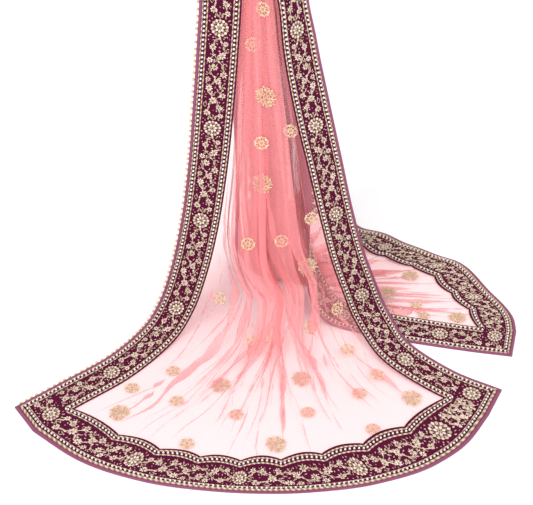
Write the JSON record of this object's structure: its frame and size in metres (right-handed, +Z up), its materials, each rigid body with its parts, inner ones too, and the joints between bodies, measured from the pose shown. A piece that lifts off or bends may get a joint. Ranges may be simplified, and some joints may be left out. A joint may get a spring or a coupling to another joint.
{
  "type": "dupatta stole",
  "caption": "Sheer pink net stole with broad embroidered maroon velvet borders, held up by its doubled middle so that one end fans out in front and the other trails behind.",
  "frame": {"origin": "middle of the underside of the doubled fold, where the stole is held up; the floor is at Z = -0.774", "axes": "+Z up, -Y towards the front end that fans out on the floor, +X to the viewer's right, where the back end spreads"},
  "size_m": [0.8849, 0.9019, 0.8126],
  "materials": {
    "pink_net": "sheer soft net, matt, salmon pink where it is gathered",
    "maroon_velvet": "dark maroon velvet with champagne gold embroidery, pearls and gold cord",
    "plum_satin": "plum satin piping with a soft sheen"
  },
  "bodies": {
    "root": {"border_end_back": "maroon_velvet", "border_end_front": "maroon_velvet", "border_left_back": "maroon_velvet", "border_left_front": "maroon_velvet", "border_left_top": "maroon_velvet", "border_right_back": "maroon_velvet", "border_right_front": "maroon_velvet", "border_right_top": "maroon_velvet", "net_back": "pink_net", "net_front": "pink_net", "net_top": "pink_net", "piping_end_back": "plum_satin", "piping_end_front": "plum_satin", "piping_left_back": "plum_satin", "piping_left_front": "plum_satin", "piping_left_top": "plum_satin", "piping_right_back": "plum_satin", "piping_right_front": "plum_satin", "piping_right_top": "plum_satin"}
  },
  "joints": []
}
